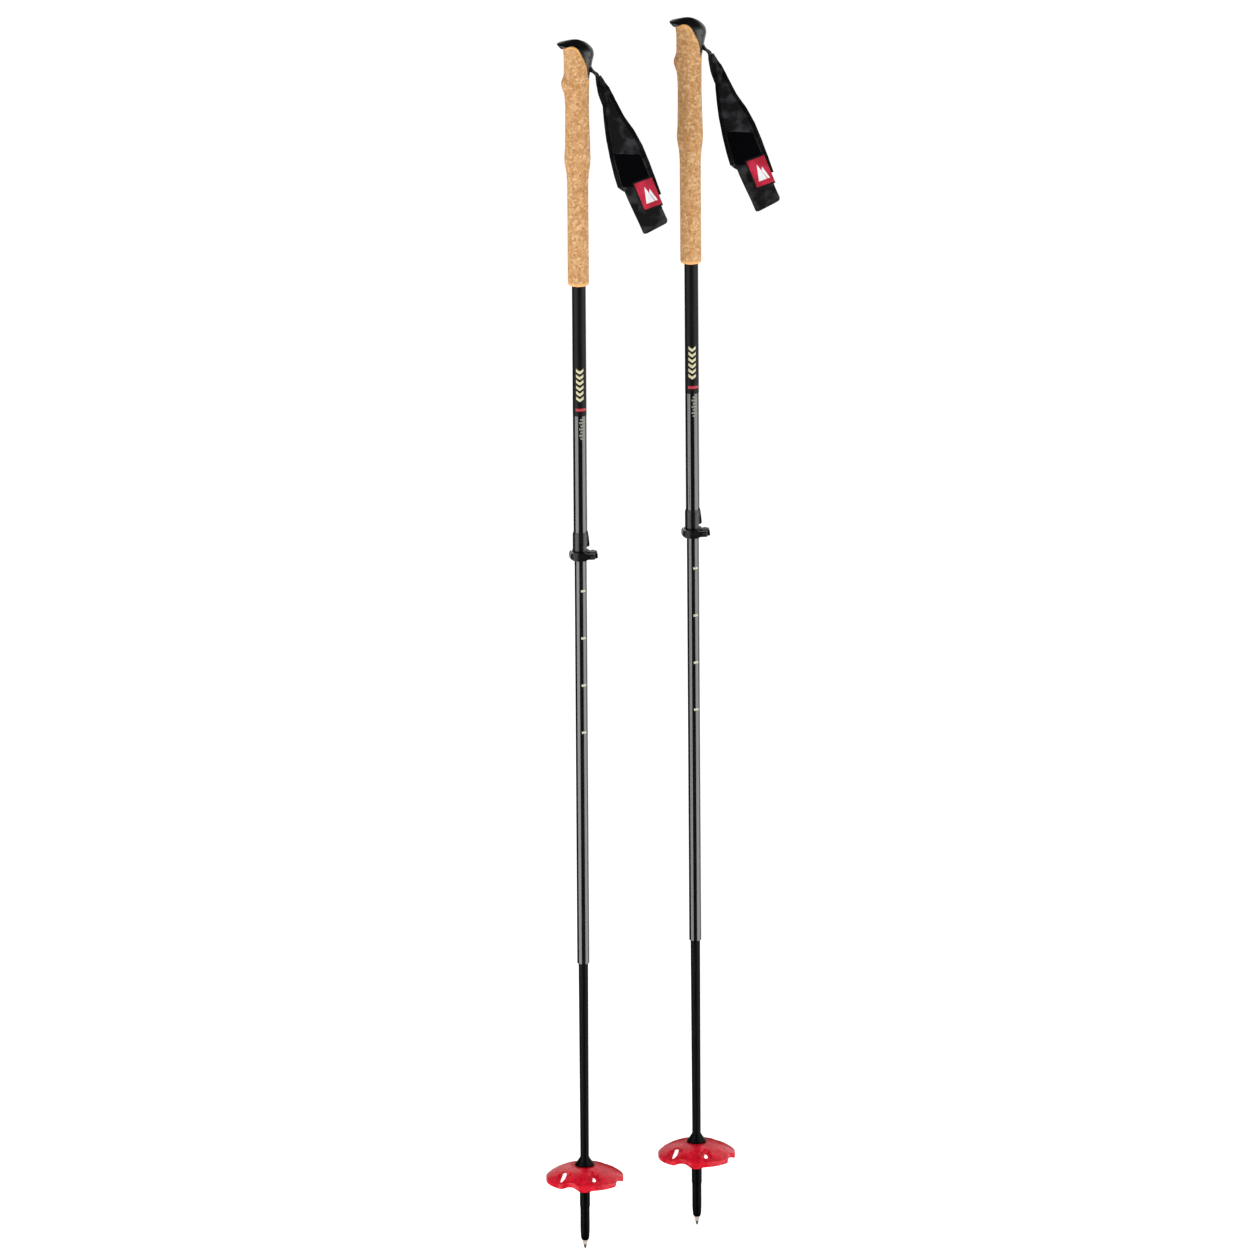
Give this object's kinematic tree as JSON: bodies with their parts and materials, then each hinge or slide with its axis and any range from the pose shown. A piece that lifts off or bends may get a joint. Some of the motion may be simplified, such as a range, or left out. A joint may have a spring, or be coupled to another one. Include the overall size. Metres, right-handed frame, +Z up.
{
  "type": "pair of trekking poles",
  "caption": "Pair of adjustable trekking poles with cork grips, padded wrist straps, external lever locks, round snow baskets and hard tips, standing upright.",
  "frame": {"origin": "the left pole's tip, where it is planted", "axes": "+Z up along the poles, -X the way the pommels' beaks point, -Y the front, from which the poles are seen side by side"},
  "size_m": [0.2457, 0.1556, 1.282],
  "materials": {
    "pommel_plastic": "black, fine moulded texture",
    "cork": "granulated cork, sanded",
    "inner_plastic": "plain moulded",
    "steel": "satin",
    "webbing": "black woven webbing",
    "cuff_fabric": "black padded webbing with a velvet face",
    "label_fabric": "red woven label with a plain pale emblem",
    "upper_tube": "black satin above, black gloss towards the lock",
    "lock_plastic": "black, satin",
    "lever_plastic": "black, satin, grey at the finger tab",
    "nut_metal": "black anodised, knurled",
    "lower_tube": "black gloss with cream length marks",
    "tip_tube": "black, matt",
    "ferrule_plastic": "black, satin gloss",
    "tip_steel": "bright turned",
    "carbide": "dark sintered",
    "basket_plastic": "red, satin gloss"
  },
  "bodies": {
    "left_lower_section": {"left_lower_shaft": "lower_tube", "left_guide_bush": "inner_plastic", "left_reducer_bush": "inner_plastic", "left_tip_tube": "tip_tube", "left_tip_ferrule": "ferrule_plastic", "left_tip_holder": "tip_steel", "left_carbide_tip": "carbide"},
    "left_upper_section": {"left_pommel_cap": "pommel_plastic", "left_cork_grip": "cork", "left_grip_plug": "inner_plastic", "left_strap_pin": "steel", "left_strap_anchor": "webbing", "left_upper_shaft": "upper_tube", "left_lock_sleeve": "lock_plastic", "left_clamp_band": "lock_plastic", "left_cam_plate": "steel", "left_tension_screw": "steel", "left_tension_washer": "steel"},
    "left_lever": {"left_lock_lever": "lever_plastic", "left_lever_pin": "steel"},
    "left_thumb_nut": {"left_tension_nut": "nut_metal"},
    "left_strap": {"left_strap_webbing": "webbing", "left_strap_cuff": "cuff_fabric", "left_strap_label": "label_fabric"},
    "left_basket": {"left_powder_basket": "basket_plastic"},
    "right_lower_section": {"right_lower_shaft": "lower_tube", "right_guide_bush": "inner_plastic", "right_reducer_bush": "inner_plastic", "right_tip_tube": "tip_tube", "right_tip_ferrule": "ferrule_plastic", "right_tip_holder": "tip_steel", "right_carbide_tip": "carbide"},
    "right_upper_section": {"right_pommel_cap": "pommel_plastic", "right_cork_grip": "cork", "right_grip_plug": "inner_plastic", "right_strap_pin": "steel", "right_strap_anchor": "webbing", "right_upper_shaft": "upper_tube", "right_lock_sleeve": "lock_plastic", "right_clamp_band": "lock_plastic", "right_cam_plate": "steel", "right_tension_screw": "steel", "right_tension_washer": "steel"},
    "right_lever": {"right_lock_lever": "lever_plastic", "right_lever_pin": "steel"},
    "right_thumb_nut": {"right_tension_nut": "nut_metal"},
    "right_strap": {"right_strap_webbing": "webbing", "right_strap_cuff": "cuff_fabric", "right_strap_label": "label_fabric"},
    "right_basket": {"right_powder_basket": "basket_plastic"}
  },
  "joints": [
    {"name": "left_length_slide", "type": "slide", "parent": "left_lower_section", "child": "left_upper_section", "axis": [0, 0, 1], "range_m": [-0.185, 0.065]},
    {"name": "left_lever_turn", "type": "hinge", "parent": "left_upper_section", "child": "left_lever", "pos_m": [0.0122, -0.0077, 0.738], "axis": [0, 0, 1], "range_deg": [0, 150]},
    {"name": "left_nut_turn", "type": "hinge", "parent": "left_upper_section", "child": "left_thumb_nut", "pos_m": [0.0122, 0.0058, 0.738], "axis": [0, 1, 0], "continuous": true},
    {"name": "left_strap_swing", "type": "hinge", "parent": "left_upper_section", "child": "left_strap", "pos_m": [0.0146, 0, 1.2515], "axis": [0, 1, 0], "range_deg": [-75, 0]},
    {"name": "left_basket_turn", "type": "hinge", "parent": "left_lower_section", "child": "left_basket", "pos_m": [0, 0, 0.075], "axis": [0, 0, 1], "continuous": true},
    {"name": "right_length_slide", "type": "slide", "parent": "right_lower_section", "child": "right_upper_section", "axis": [0, 0, 1], "range_m": [-0.185, 0.065]},
    {"name": "right_lever_turn", "type": "hinge", "parent": "right_upper_section", "child": "right_lever", "pos_m": [0.1262, 0.0693, 0.738], "axis": [0, 0, 1], "range_deg": [0, 150]},
    {"name": "right_nut_turn", "type": "hinge", "parent": "right_upper_section", "child": "right_thumb_nut", "pos_m": [0.1262, 0.0828, 0.738], "axis": [0, 1, 0], "continuous": true},
    {"name": "right_strap_swing", "type": "hinge", "parent": "right_upper_section", "child": "right_strap", "pos_m": [0.1286, 0.077, 1.2515], "axis": [0, 1, 0], "range_deg": [-75, 0]},
    {"name": "right_basket_turn", "type": "hinge", "parent": "right_lower_section", "child": "right_basket", "pos_m": [0.114, 0.077, 0.075], "axis": [0, 0, 1], "continuous": true},
    {"name": "pole_spacing", "type": "slide", "parent": "left_lower_section", "child": "right_lower_section", "axis": [1, 0, 0], "range_m": [0, 0.4]}
  ]
}
